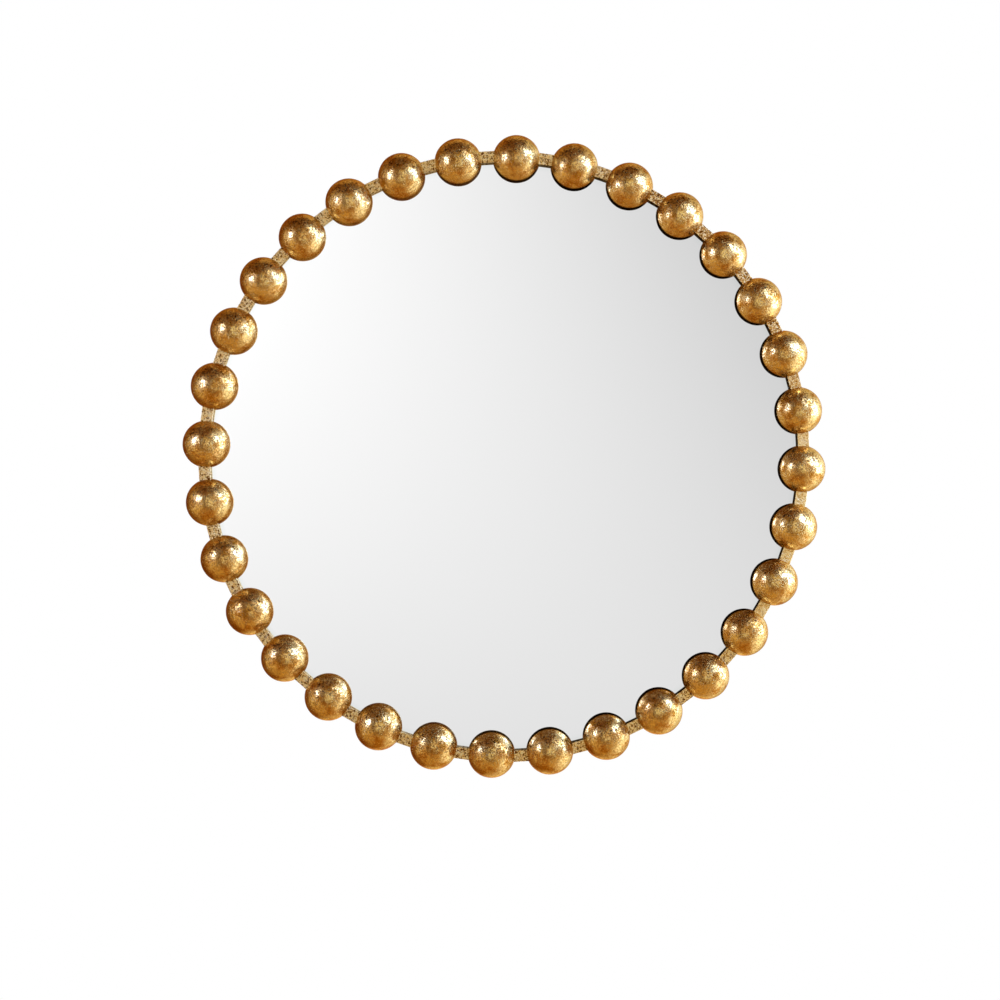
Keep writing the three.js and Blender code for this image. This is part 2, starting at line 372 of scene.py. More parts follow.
def frontCardMaterial(reach):
    # Behind the camera. The glass shows it paler to the upper left; the gilding sees it warm and even.
    material, tree = newMaterial("front card")
    place = addNode(tree, "TexCoord").outputs["Object"]
    scaled = addNode(tree, "VectorMath", {"operation": "DIVIDE"}, [place, (reach, -reach, 1)])
    axes = addNode(tree, "SeparateXYZ", {}, [scaled])
    across, down = axes.outputs["X"], axes.outputs["Y"]
    terms = frontCard["tone"]
    turning = addNode(tree, "Math", multiplyAdd, [down, terms["acrossDown"], terms["across"]])
    leaning = addNode(tree, "Math", multiplyAdd, [across, terms["acrossTwice"], turning])
    sideways = addNode(tree, "Math", multiplyAdd, [across, leaning, terms["middle"]])
    sinking = addNode(tree, "Math", multiplyAdd, [down, terms["downTwice"], terms["down"]])
    tone = addNode(tree, "Math", multiplyAdd, [down, sinking, sideways])
    level = addNode(tree, "Math", {"operation": "DIVIDE"}, [tone, frontCard["reflectance"]])
    plain = addNode(tree, "Emission", {}, {"Color": white, "Strength": level})
    warmth = addNode(tree, "MapRange", {},
                     [down, *frontCard["fadeRange"], frontCard["level"], frontCard["fade"]])
    warm = addNode(tree, "Emission", {}, {"Color": linear(frontCard["warm"]), "Strength": warmth})
    shown = addNode(tree, "MixShader", {}, [clearLook(tree), warm, plain])
    addNode(tree, "OutputMaterial", {}, [shown])
    return material


def addFrontCard():
    # Its origin lies where the camera sees the middle of the glass reflect it.
    cardY = camera.location.y - frontCard["distance"]
    spread = 1 + (glassFront - cardY) / (glassFront - camera.location.y)
    eye = Vector((camera.location.x, 0, camera.location.z))
    middle = Vector((ringCentre.x, 0, ringCentre.z))
    origin = eye + (middle - eye) * spread
    mesh = cardMesh("frontCard", *(frontCard[side] for side in ("left", "right", "bottom", "top")))
    place = Matrix.Translation((origin.x, cardY, origin.z)) @ Matrix.Rotation(math.radians(90), 4, "X")
    onlyReflected(newPiece("frontCard", mesh, frontCardMaterial(frontCard["glassRadius"] * spread), place))


def roomTones(tree, value, tones):
    # The room's tones along a value that runs from -1 to 1 over its radius.
    share = addNode(tree, "MapRange", {}, {"Value": value, "From Min": -1.0})
    stops = [((position + 1) / 2, linear(colour)) for position, colour in tones]
    return addNode(tree, "ValToRGB", {"stops": stops}, [share])


def roomMaterial():
    # Warm and dim, darker overhead and to the rear left, with one bright wall to the right.
    material, tree = newMaterial("room")
    place = addNode(tree, "TexCoord").outputs["Object"]
    scaled = addNode(tree, "VectorMath", {"operation": "SCALE"}, [place, 1 / room["radius"]])
    axes = addNode(tree, "SeparateXYZ", {}, [scaled])
    height = axes.outputs["Z"]
    lean = addNode(tree, "VectorMath", dotProduct, [scaled, room["rearLean"]])
    rear = addNode(tree, "MapRange", smooth, [axes.outputs["Y"], *room["rearRange"]])
    both = addNode(tree, "Mix", ofColours,
                   [rear, roomTones(tree, height, room["heights"]), roomTones(tree, lean, room["rear"])])
    turned = addNode(tree, "VectorMath", dotProduct, [scaled, room["wallAim"]])
    right = addNode(tree, "MapRange", smooth, [turned, *room["wallRange"]])
    steep = addNode(tree, "Math", {"operation": "ABSOLUTE"}, [height])
    low = addNode(tree, "MapRange", {}, [steep, *room["wallHeights"], 1.0, room["wallEnd"]])
    walled = addNode(tree, "Math", multiply, [right, low])
    wall = addNode(tree, "Mix", ofColours, [walled, both, linear(room["rightWall"])])
    level = addNode(tree, "MapRange", {}, [walled, 0.0, 1.0, room["level"], room["wallLevel"]])
    glow = addNode(tree, "Emission", {}, {"Color": wall, "Strength": level})
    addNode(tree, "OutputMaterial", {}, [hiddenFromGlass(tree, glow)])
    return material


def addRoom():
    # The dim studio all round the gilding, open to the white background at the right rear.
    bm = bmesh.new()
    bmesh.ops.create_uvsphere(bm, u_segments=48, v_segments=24, radius=room["radius"])
    behind, right, height = (share * room["radius"] for share in room["opening"].values())
    middles = [(f, f.calc_center_median()) for f in bm.faces]
    opening = [f for f, m in middles if m.y > behind and m.x > right and abs(m.z) < height]
    bmesh.ops.delete(bm, geom=opening, context="FACES")
    onlyReflected(newPiece("room", meshFrom(bm, "room"), roomMaterial(), Matrix.Translation(ringCentre)))


def floorMaterial():
    # Matt painted floor that melts into the white background at its edge, for the camera alone.
    material, tree = newMaterial("painted floor")
    place = addNode(tree, "TexCoord").outputs["Object"]
    away = addNode(tree, "VectorMath", vectorLength, [place])
    fade = addNode(tree, "MapRange", smooth, [away, *floor["fadeRange"]])
    path = addNode(tree, "LightPath")
    seen = addNode(tree, "Math", multiply, [fade, path.outputs["Is Camera Ray"]])
    paint = addNode(tree, "BsdfDiffuse", {}, {"Color": linear(floor["paint"])})
    glow = addNode(tree, "Emission", {}, {"Color": white, "Strength": 1.0})
    melted = addNode(tree, "MixShader", {}, [seen, paint, glow])
    addNode(tree, "OutputMaterial", {}, [melted])
    return material


def addFloor():
    bm = bmesh.new()
    bmesh.ops.create_circle(bm, cap_ends=True, segments=96, radius=floor["radius"])
    place = Matrix.Translation((0, -floor["ahead"], -floor["drop"]))
    ground = newPiece("floor", meshFrom(bm, "floor"), floorMaterial(), place)
    ground.visible_glossy = False


def lightWorld():
    # The camera, metal and glass see the world white. The rest is lit by it at the fill level.
    world = bpy.data.worlds.new("studio")
    bpy.context.scene.world = world
    world.use_nodes = True
    tree = world.node_tree
    tree.nodes.clear()
    path = addNode(tree, "LightPath")
    seen = addNode(tree, "Math", {"operation": "MAXIMUM"},
                   [path.outputs["Is Camera Ray"], path.outputs["Is Glossy Ray"]])
    shown = addNode(tree, "Math", {"operation": "MAXIMUM"}, [seen, path.outputs["Is Transmission Ray"]])
    dim = addNode(tree, "Background", {}, {"Color": white, "Strength": fill})
    bright = addNode(tree, "Background", {}, {"Color": white, "Strength": 1.0})
    mixed = addNode(tree, "MixShader", {}, [shown, dim, bright])
    addNode(tree, "OutputWorld", {}, [mixed])


for box in softBoxes:
    addSoftBox(box)
for card in cards:
    addCard(card)
addFrontCard()
addRoom()
addFloor()
lightWorld()
bpy.context.scene.view_settings.view_transform = "Standard"
print("studio lit")


# Beads: cast resin, gilded, glazed brown and thinly lacquered

bead = {
    "radius": 25.65 * mm,  # a hair inside the solid's, to leave room for the gilding's unevenness
    "rows": 44,
    "sides": 84,
    "edgeRound": 0.6 * mm,  # where the ball meets its flat back
    "edgeSteps": 3,
    "channelGap": 0.3 * mm,
    "channelReach": 7,  # degrees of the ring to each side
    "channelSteps": 24,
    "channelOver": 10 * mm,  # how far its cutter stands out of the back
    "dentWidth": 9 * mm,
    "dentDepth": 0.10 * mm,
    "seed": 7,
}

beadLeaf = {  # widths in mm; a range is where its noise brings in that tone, from none to all of it
    "leaf": "#EED190",
    "leafDeep": "#C89038",
    "deepRange": (0.42, 0.64),
    "rubbed": "#FFF2CC",
    "rubbedRange": (0.52, 0.66),
    "rubbedShare": 0.6,
    "glaze": "#422006",
    "fleckRange": (0.52, 0.42),
    "upperShadeHeights": (-0.35, 0.5),  # over the radius: fewer below, all above, as painted shade for the dark ceiling's reflection
    "fleckLeast": 0.26,
    "fleckSpread": (1.0, 0.66),  # over the radius: none at the rim, whole on the dome
    "limb": "#B88648",  # the glaze seen edge on
    # edge tint inside the painted shade
    "limbInShade": "#000000",
    "shadeRimTone": "#2C1606",  # painted shade: a dark rim on the side towards the glass, for the shaded gap between bead and glass
    "shadeRimWidth": 0.078,  # of the painted shade's dark rim, as a share of the radius
    # depths inward of the bead over which the painted shade comes in
    "shadeInward": (-0.2, -0.6),
    "shadeRight": (-0.28, 0.08),  # metres right of the ring's middle, over which the painted shade comes in
    "patchWidth": 12,  # of the deeper patches
    "grainWidth": 1.8,  # of the flecks; real ones are finer
    "creaseRange": (0.36, 0.5),
    "creaseDepth": 0.13 * mm,
    "wrinkleWidth": 3.4,
    "wrinkleDepth": 0.34 * mm,
    "rippleWidth": 8,
    "rippleDepth": 0.25 * mm,
    "burnishRange": (0.3, 0.7),
    "burnish": (0.17, 0.3),  # roughness, on bright patches and on deep ones
    "coat": 0.2,
    "coatRoughness": 0.2,
    "coatIor": 1.45,
}

primer = {
    "boleAndShade": "#1C120C",
    "dust": "#2E2018",
    "dustWidth": 0.9,
    "dustDepth": 0.05 * mm,
    "roughness": 0.8,
}


def beadLeafMaterial():
    # Antique gold leaf on resin, laid by hand, glazed brown and lacquered: a warm metal whose creases hold
    # the glaze and break the soft boxes' edges into flecks, under a thin clear coat. A dark rim of painted shade
    # lies on the beads' sides towards the glass, most on the right of the ring, for the shaded gap there.
    material, tree = newMaterial("gold leaf, glazed and lacquered")
    radius = bead["radius"]
    place = addNode(tree, "TexCoord").outputs["Object"]
    here = addNode(tree, "ObjectInfo")
    shift = addNode(tree, "Math", multiply, [here.outputs["Random"], 60.0])
    own = {"Vector": place, "W": shift}  # each bead has its own stretch of the noise
    fourD = {"noise_dimensions": "4D"}
    patches = addNode(tree, "TexNoise", fourD,
                      {**own, "Scale": 1000 / beadLeaf["patchWidth"], "Detail": 3.0, "Roughness": 0.55})
    grain = addNode(tree, "TexNoise", fourD,
                    {**own, "Scale": 1000 / beadLeaf["grainWidth"], "Detail": 3.0, "Roughness": 0.65,
                     "Distortion": 0.8})
    wrinkle = addNode(tree, "TexNoise", fourD,
                      {**own, "Scale": 1000 / beadLeaf["wrinkleWidth"], "Detail": 1.0})
    ripple = addNode(tree, "TexNoise", fourD,
                     {**own, "Scale": 1000 / beadLeaf["rippleWidth"], "Detail": 1.0})

    # Leaf, rubbed pale in places
    deep = addNode(tree, "MapRange", smooth, [patches, *beadLeaf["deepRange"]])
    leafTone = addNode(tree, "Mix", ofColours, [deep, linear(beadLeaf["leaf"]), linear(beadLeaf["leafDeep"])])
    worn = addNode(tree, "MapRange", smooth, [grain, *beadLeaf["rubbedRange"], 0.0, beadLeaf["rubbedShare"]])
    rubbed = addNode(tree, "Mix", ofColours, [worn, leafTone, linear(beadLeaf["rubbed"])])

    # Flecks of glaze, with more on the upper side of the dome as painted shade for the dark ceiling's reflection
    axes = addNode(tree, "SeparateXYZ", {}, [place])
    low, high = (share * radius for share in beadLeaf["upperShadeHeights"])
    upperShade = addNode(tree, "MapRange", {}, [axes.outputs["Z"], low, high, beadLeaf["fleckLeast"], 1.0])
    facing = addNode(tree, "VectorMath", multiply, [place, (1, 0, 1)])
    spread = addNode(tree, "VectorMath", vectorLength, [facing])
    dome = addNode(tree, "MapRange", smooth, [spread, *(share * radius for share in beadLeaf["fleckSpread"])])
    fleckAndUpperShade = addNode(tree, "Math", multiply, [upperShade, dome])
    cracks = addNode(tree, "MapRange", smooth, [grain, *beadLeaf["fleckRange"]])
    flecks = addNode(tree, "Math", multiply, [cracks, fleckAndUpperShade])
    glazed = addNode(tree, "Mix", ofColours, [flecks, rubbed, linear(beadLeaf["glaze"])])

    # Painted shade towards the glass, most on the right of the ring: dark tone, black edge tint and no coat
    outward = addNode(tree, "VectorMath", subtract, [here.outputs["Location"], ringCentre])
    sunk = addNode(tree, "VectorMath", dotProduct, [place, outward])
    start, full = (share * barMiddle * radius for share in beadLeaf["shadeInward"])
    inner = addNode(tree, "MapRange", smooth, [sunk, start, full])
    start, full = (1 - beadLeaf["shadeRimWidth"]) * radius, (1 - beadLeaf["shadeRimWidth"] / 3) * radius
    rim = addNode(tree, "MapRange", smooth, [spread, start, full])
    side = addNode(tree, "SeparateXYZ", {}, [outward]).outputs["X"]
    right = addNode(tree, "MapRange", smooth, [side, *beadLeaf["shadeRight"]])
    shadeTowardGlass = addNode(tree, "Math", multiply, [inner, rim])
    paintedShade = addNode(tree, "Math", multiply, [shadeTowardGlass, right])
    tone = addNode(tree, "Mix", ofColours, [paintedShade, glazed, linear(beadLeaf["shadeRimTone"])])
    limb = addNode(tree, "Mix", ofColours, [paintedShade, linear(beadLeaf["limb"]), linear(beadLeaf["limbInShade"])])

    burnish = addNode(tree, "MapRange", {}, [patches, *beadLeaf["burnishRange"], *beadLeaf["burnish"]])
    # The coat is taken off inside the painted shade.
    coat = addNode(tree, "MapRange", {}, [paintedShade, 0.0, 1.0, beadLeaf["coat"], 0.0])
    ripples = addNode(tree, "Bump", {}, {"Height": ripple, "Distance": beadLeaf["rippleDepth"]})
    wrinkles = addNode(tree, "Bump", {},
                       {"Height": wrinkle, "Distance": beadLeaf["wrinkleDepth"], "Normal": ripples})
    folds = addNode(tree, "MapRange", smooth, [grain, *beadLeaf["creaseRange"]])
    creases = addNode(tree, "Bump", {},
                      {"Height": folds, "Distance": beadLeaf["creaseDepth"], "Normal": wrinkles})
    gilding = addNode(tree, "BsdfPrincipled", {}, {
        "Base Color": tone, "Metallic": 1.0, "Roughness": burnish, "Normal": creases, "Specular Tint": limb,
        "Coat Weight": coat, "Coat Roughness": beadLeaf["coatRoughness"], "Coat IOR": beadLeaf["coatIor"],
        "Coat Normal": ripples,
    })
    addNode(tree, "OutputMaterial", {}, [gilding])
    return material


def primerMaterial():
    # Dark bole brushed on the bare resin, matt: almost black, a little dusty. Its near-black is partly painted
    # shade, for the shaded gap between the beads' backs and the glass.
    material, tree = newMaterial("dark bole primer, brushed")
    place = addNode(tree, "TexCoord").outputs["Object"]
    dust = addNode(tree, "TexNoise", {},
                   {"Vector": place, "Scale": 1000 / primer["dustWidth"], "Detail": 3.0})
    tone = addNode(tree, "Mix", ofColours, [dust, linear(primer["boleAndShade"]), linear(primer["dust"])])
    skin = addNode(tree, "Bump", {}, {"Height": dust, "Distance": primer["dustDepth"], "Strength": 0.6})
    matt = addNode(tree, "BsdfPrincipled", {},
                   {"Base Color": tone, "Roughness": primer["roughness"], "Normal": skin})
    addNode(tree, "OutputMaterial", {}, [matt])
    return material


def poleOf(name):
    # A bead's foremost point lies on its axis.
    return min((v.co for v in nodes[name].data.vertices), key=lambda p: p.y)


def channelMesh(reach, back):
    # What the bar's channel takes out of the bead at the top of the ring, whose centre is the origin.
    bm = bmesh.new()
    inner, outer = barInner - bead["channelGap"], barOuter + bead["channelGap"]
    near, far = barFront - beadPlane - bead["channelGap"], back + bead["channelOver"]
    corners = [(inner, near), (outer, near), (outer, far), (inner, far)]
    sections = []
    for i in range(bead["channelSteps"] + 1):
        a = math.radians(bead["channelReach"]) * (2 * i / bead["channelSteps"] - 1)
        section = [(radius * math.sin(a), y, radius * math.cos(a) - reach) for radius, y in corners]
        sections.append([bm.verts.new(point) for point in section])
    for before, after in zip(sections, sections[1:]):
        for k in range(4):
            bm.faces.new((before[k], before[(k + 1) % 4], after[(k + 1) % 4], after[k]))
    bm.faces.new(sections[0])
    bm.faces.new(sections[-1])
    bmesh.ops.recalc_face_normals(bm, faces=bm.faces)
    return meshFrom(bm, "channel")


def beadBlank():
    # The half ball at the top of the ring with its centre at the origin, and the bar's channel in its back.
    r = bead["radius"]
    rise = bead["edgeRound"]
    back = barBack - beadPlane
    rimTurn = math.acos((back - rise) / r)
    profile = [(0, -r)]
    for row in range(1, bead["rows"] + 1):
        turn = (math.pi - rimTurn) * row / bead["rows"]
        profile.append((r * math.sin(turn), -r * math.cos(turn)))
    rim = r * math.sin(rimTurn)
    for step in range(1, bead["edgeSteps"] + 1):
        turn = math.radians(90 * step / bead["edgeSteps"])
        profile.append((rim - rise * (1 - math.cos(turn)), back - rise + rise * math.sin(turn)))
    profile.append((0, back))
    ball = lathed("beadBall", profile, bead["sides"])
    pole = poleOf(beadNames[0])
    return cutMesh(ball, channelMesh(math.hypot(pole.x, pole.z - ringCentre.z), back))


def unevenBall(blank, name, turn, offset):
    # The hand-rubbed gesso under the leaf is never quite true. The back and the channel are left primed.
    mesh = blank.copy()
    mesh.name = name
    r = bead["radius"]
    for face in mesh.polygons:
        if face.center.length < r - 0.75 * mm:
            face.material_index = 1
    for vertex in mesh.vertices:
        point = vertex.co
        if abs(point.length - r) < 0.02 * mm:
            swell = noise.noise(point / bead["dentWidth"] + offset) * bead["dentDepth"]
            vertex.co = point * (1 + swell / r)
    mesh.transform(Matrix.Rotation(turn, 4, "Y"))
    smoothMesh(mesh)
    return mesh


def addBeads():
    pick = random.Random(bead["seed"])
    blank = beadBlank()
    leaf = beadLeafMaterial()
    bare = primerMaterial()
    for name in beadNames:
        pole = poleOf(name)
        turn = math.atan2(pole.x - ringCentre.x, pole.z - ringCentre.z)
        offset = Vector([pick.uniform(-50, 50) for axis in range(3)])
        mesh = unevenBall(blank, name, turn, offset)
        place = Matrix.Translation((pole.x, beadPlane, pole.z))
        piece = newPiece("gilded_" + name, mesh, [leaf, bare], place)
        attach(piece, "mirror")
        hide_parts(name)


addBeads()
print("beads gilded")


# Bar ring: flat steel bar, leafed like the beads but paler, and not lacquered

bar = {  # widths and ranges as for the beads
    "edgeRound": 0.5 * mm,
    "leaf": "#FFE09C",
    "leafPale": "#FFF2CC",
    "paleRange": (0.4, 0.7),
    "dull": "#D8AA64",
    "dullAt": 52,  # degrees clockwise of the top
    "rubbed": "#FFF8DC",
    "rubbedRange": (0.52, 0.6),
    "glaze": "#6E451A",
    "fleckRange": (0.48, 0.41),
    "smoothAt": 100,  # degrees, where the leaf is least cracked
    "smoothFlecks": 0.35,  # what is left there of the flecks, and of the wrinkles
    "smoothWrinkles": 0.6,
    "nearRange": (0.75, 0.97),  # cosines of the way round from such a place
    "toner": "#2A1A0E",
    "tonerShadeRight": (-0.2, 0.16),  # metres right of the ring's middle, over which the toner comes in as painted shade
    "leafEdge": 0.35 * mm,  # how far round the arris the leaf goes before the dark return
    "leafEdgeFull": 0.3,  # share of it that is all toner
    "patchWidth": 7,
    "grainWidth": 2.2,
    "creaseRange": (0.38, 0.5),
    "creaseDepth": 0.12 * mm,
    "wrinkleDepth": 0.55 * mm,
    "tonerRoughness": 0.8,
    "leafRoughness": 0.34,
}


def barLeafMaterial():
    # Crinkled pale gold leaf on the steel bar, laid by hand: a broken satin gleam with brown in the creases.
    # The return towards the glass is left in toner, thin on the left and dark on the right; the dark on the right
    # is painted shade.
    material, tree = newMaterial("pale gold leaf, crinkled")
    place = addNode(tree, "TexCoord").outputs["Object"]
    patches = addNode(tree, "TexNoise", {},
                      {"Vector": place, "Scale": 1000 / bar["patchWidth"], "Detail": 3.0})
    grain = addNode(tree, "TexNoise", {}, {
        "Vector": place, "Scale": 1000 / bar["grainWidth"], "Detail": 2.0, "Roughness": 0.6,
        "Distortion": 1.0,
    })
    fromAxis = addNode(tree, "VectorMath", subtract, [place, ringCentre])

    def nearTo(degrees):
        # 1 at that place round the ring, fading to 0 on both sides.
        turn = math.radians(degrees)
        along = addNode(tree, "VectorMath", dotProduct, [fromAxis, (math.sin(turn), 0, math.cos(turn))])
        return addNode(tree, "MapRange", smooth, [along, *(share * barMiddle for share in bar["nearRange"])])

    # Leaf, rubbed pale in places and duller at one
    smoothed = nearTo(bar["smoothAt"])
    pale = addNode(tree, "MapRange", smooth, [patches, *bar["paleRange"]])
    leafTone = addNode(tree, "Mix", ofColours, [pale, linear(bar["leaf"]), linear(bar["leafPale"])])
    dulled = addNode(tree, "Mix", ofColours, [nearTo(bar["dullAt"]), leafTone, linear(bar["dull"])])
    worn = addNode(tree, "MapRange", smooth, [grain, *bar["rubbedRange"]])
    rubbed = addNode(tree, "Mix", ofColours, [worn, dulled, linear(bar["rubbed"])])

    # Flecks of glaze
    crackle = addNode(tree, "MapRange", {}, [smoothed, 0.0, 1.0, 1.0, bar["smoothFlecks"]])
    cracks = addNode(tree, "MapRange", smooth, [grain, *bar["fleckRange"]])
    flecks = addNode(tree, "Math", multiply, [cracks, crackle])
    glazed = addNode(tree, "Mix", ofColours, [flecks, rubbed, linear(bar["glaze"])])

    # Toner on the return, made dark on the right of the ring by painted shade
    flat = addNode(tree, "VectorMath", multiply, [fromAxis, (1, 0, 1)])
    radius = addNode(tree, "VectorMath", vectorLength, [flat])
    edge, edgeFull = barInner + bar["leafEdge"], barInner + bar["leafEdge"] * bar["leafEdgeFull"]
    inside = addNode(tree, "MapRange", smooth, [radius, edge, edgeFull])
    side = addNode(tree, "SeparateXYZ", {}, [fromAxis]).outputs["X"]
    shadedToRight = addNode(tree, "MapRange", smooth, [side, *bar["tonerShadeRight"]])
    tonerAndShade = addNode(tree, "Math", multiply, [inside, shadedToRight])
    tone = addNode(tree, "Mix", ofColours, [tonerAndShade, glazed, linear(bar["toner"])])
    metal = addNode(tree, "Math", subtract, [1.0, tonerAndShade])

    rough = addNode(tree, "MapRange", {}, [metal, 0.0, 1.0, bar["tonerRoughness"], bar["leafRoughness"]])
    flatter = addNode(tree, "MapRange", {}, [smoothed, 0.0, 1.0, 1.0, bar["smoothWrinkles"]])
    wrinkles = addNode(tree, "Bump", {},
                       {"Height": grain, "Distance": bar["wrinkleDepth"], "Strength": flatter})
    folds = addNode(tree, "MapRange", smooth, [grain, *bar["creaseRange"]])
    creases = addNode(tree, "Bump", {}, {"Height": folds, "Distance": bar["creaseDepth"], "Normal": wrinkles})
    gilding = addNode(tree, "BsdfPrincipled", {}, {
        "Base Color": tone, "Metallic": metal, "Roughness": rough, "Normal": creases,
        # No sheen, so that the toner's painted shade stays dark
        "Specular IOR Level": 0.0,
    })
    addNode(tree, "OutputMaterial", {}, [gilding])
    return material


easeEdges(dress("bar_ring", barLeafMaterial()), bar["edgeRound"])
print("bar leafed")


# Glass, gasket, board and hoop: pattern widths in mm

glass = {
    "silver": "#F6F6F6",
    "silverEdge": "#EFF1F0",
    "edgeWidth": 8 * mm,
}

gasket = {
    "foam": "#1A1A1B",
    "cell": "#2B2B2C",
    "cellWidth": 0.8,
    "cellDepth": 0.05 * mm,
    "roughness": 0.92,
}

board = {
    "edgeRound": 0.5 * mm,
    "fibre": "#9A7650",
    "fibreDark": "#7E5D3C",
    "darkRange": (0.75, 1.2),
    "fleck": "#B8986E",
    "fleckRange": (0.85, 0.62),
    "fibreLength": 3.0,
    "fibreWidth": 0.7,
    "fibreTurns": (35, 125),
    "fibreDepth": 0.04 * mm,
    "cloudWidth": 90,
    "cloudRange": (0.3, 0.7),
    "cloudShare": 0.25,
    "roughness": 0.8,
}

hoop = {
    "edgeRound": 0.4 * mm,
    "paint": "#6A5030",
    "paintRubbed": "#8A6C42",
    "rubbedWidth": 14,
    "rubbedRange": (0.52, 0.7),
    "rubbedShare": 0.8,
    "peelWidth": 1.6,
    "peelDepth": 0.03 * mm,
    "metallic": 0.55,
    "roughness": (0.34, 0.55),
}


def glassMaterial():
    # Silvered float glass, polished: a clean mirror whose silvering is a shade greyer towards the edge.
    material, tree = newMaterial("silvered float glass")
    place = addNode(tree, "TexCoord").outputs["Object"]
    centred = addNode(tree, "VectorMath", subtract, [place, (ringCentre.x, glassFront, ringCentre.z)])
    away = addNode(tree, "VectorMath", vectorLength, [centred])
    edge = addNode(tree, "MapRange", smooth, [away, barInner - glass["edgeWidth"], barInner])
    tone = addNode(tree, "Mix", ofColours, [edge, linear(glass["silver"]), linear(glass["silverEdge"])])
    mirror = addNode(tree, "BsdfPrincipled", {}, {"Base Color": tone, "Metallic": 1.0, "Roughness": 0.0})
    addNode(tree, "OutputMaterial", {}, [mirror])
    return material


def foamMaterial():
    # Closed-cell foam tape, cut from sheet: matt black with a fine open grain.
    material, tree = newMaterial("black foam tape")
    place = addNode(tree, "TexCoord").outputs["Object"]
    cells = addNode(tree, "TexVoronoi", {}, {"Vector": place, "Scale": 1000 / gasket["cellWidth"]})
    tone = addNode(tree, "Mix", ofColours, [cells, linear(gasket["foam"]), linear(gasket["cell"])])
    pits = addNode(tree, "Bump", {}, {"Height": cells, "Distance": gasket["cellDepth"], "Strength": 0.6})
    foam = addNode(tree, "BsdfPrincipled", {},
                   {"Base Color": tone, "Roughness": gasket["roughness"], "Normal": pits})
    addNode(tree, "OutputMaterial", {}, [foam])
    return material


def fibreboardMaterial():
    # Medium-density fibreboard, sanded: matt brown with short fibres lying every way and paler flecks.
    material, tree = newMaterial("fibreboard, sanded")
    place = addNode(tree, "TexCoord").outputs["Object"]
    streak = board["fibreLength"], board["fibreWidth"]
    fibres = [drawnOut(tree, place, turn, *streak) for turn in board["fibreTurns"]]
    both = addNode(tree, "Math", {"operation": "ADD"}, fibres)
    dark = addNode(tree, "MapRange", {}, [both, *board["darkRange"]])
    flecks = addNode(tree, "MapRange", {}, [both, *board["fleckRange"]])
    cloud = addNode(tree, "TexNoise", {},
                    {"Vector": place, "Scale": 1000 / board["cloudWidth"], "Detail": 3.0})
    body = addNode(tree, "Mix", ofColours, [dark, linear(board["fibre"]), linear(board["fibreDark"])])
    flecked = addNode(tree, "Mix", ofColours, [flecks, body, linear(board["fleck"])])
    shade = addNode(tree, "MapRange", {}, [cloud, *board["cloudRange"], 0.0, board["cloudShare"]])
    tone = addNode(tree, "Mix", ofColours, [shade, flecked, linear(board["fibreDark"])])
    nap = addNode(tree, "Bump", {}, {"Height": both, "Distance": board["fibreDepth"], "Strength": 0.5})
    sanded = addNode(tree, "BsdfPrincipled", {},
                     {"Base Color": tone, "Roughness": board["roughness"], "Normal": nap})
    addNode(tree, "OutputMaterial", {}, [sanded])
    return material


def hoopPaintMaterial():
    # Bronze enamel, sprayed: satin, with a slight orange peel and worn paler here and there.
    material, tree = newMaterial("bronze enamel, sprayed")
    place = addNode(tree, "TexCoord").outputs["Object"]
    peel = addNode(tree, "TexNoise", {}, {"Vector": place, "Scale": 1000 / hoop["peelWidth"], "Detail": 2.0})
    wear = addNode(tree, "TexNoise", {},
                   {"Vector": place, "Scale": 1000 / hoop["rubbedWidth"], "Detail": 5.0, "Roughness": 0.6})
    rubbed = addNode(tree, "MapRange", {}, [wear, *hoop["rubbedRange"], 0.0, hoop["rubbedShare"]])
    tone = addNode(tree, "Mix", ofColours, [rubbed, linear(hoop["paint"]), linear(hoop["paintRubbed"])])
    skin = addNode(tree, "Bump", {}, {"Height": peel, "Distance": hoop["peelDepth"], "Strength": 0.6})
    rough = addNode(tree, "MapRange", {}, [wear, 0.0, 1.0, *hoop["roughness"]])
    enamel = addNode(tree, "BsdfPrincipled", {},
                     {"Base Color": tone, "Metallic": hoop["metallic"], "Roughness": rough, "Normal": skin})
    addNode(tree, "OutputMaterial", {}, [enamel])
    return material


dress("mirror_glass", glassMaterial())
dress("foam_gasket", foamMaterial())
easeEdges(dress("backing_board", fibreboardMaterial()), board["edgeRound"])
easeEdges(dress("rear_hoop", hoopPaintMaterial()), hoop["edgeRound"])
print("glass, gasket, board and hoop finished")


# Zinc-plated hardware: tabs, straps, loops and screws

zinc = {  # widths and lengths in mm
    "bright": "#C6C8C9",
    "dull": "#9C9FA2",
    "dullShares": (0.1, 0.7),  # from one spangle to the next
    "spangleWidth": 2.2,
    "scratchLength": 9.0,
    "scratchWidth": 0.25,
    "scratchTurn": 78,  # degrees
    "scratchDepth": 0.01 * mm,
    "scratchRange": (0.3, 0.7),
    "roughness": (0.24, 0.42),
}

tab = {"edgeRound": 0.2 * mm}
strap = {"edgeRound": 0.3 * mm}

loop = {
    "wireDiameter": 3 * mm,
    "width": 25 * mm,  # between wire centres
    "length": 18.5 * mm,  # from the hinge to the wire's centre at the crown
    "corner": 3.5 * mm,
    "butt": 0.3 * mm,
    "cornerSteps": 8,
    "crownSteps": 48,
    "sides": 28,
}

screw = {
    "shank": 3.4 * mm,
    "length": 9 * mm,
    "point": 2.5 * mm,
    "head": 7.4 * mm,
    "headHeight": 2.2 * mm,
    "headSeat": 0.93,  # of the head's radius
    "headSide": (0.12, 0.38),  # of its height; the crown lies above
    "crownSteps": 7,
    "crownPower": 0.8,  # below 1 for a flatter crown
    "recessWidth": 4.2 * mm,
    "recessTaper": 0.45,  # what is left of its width at the bottom
    "recessDepth": 1.4 * mm,
    "slotWidth": 0.9 * mm,
    "slotTaper": 0.7,
    "pitch": 1.3 * mm,
    "threadDepth": 0.35 * mm,
    "sides": 40,
    "turns": (18, 71, 40, 104),  # degrees, as the four were left by hand
}


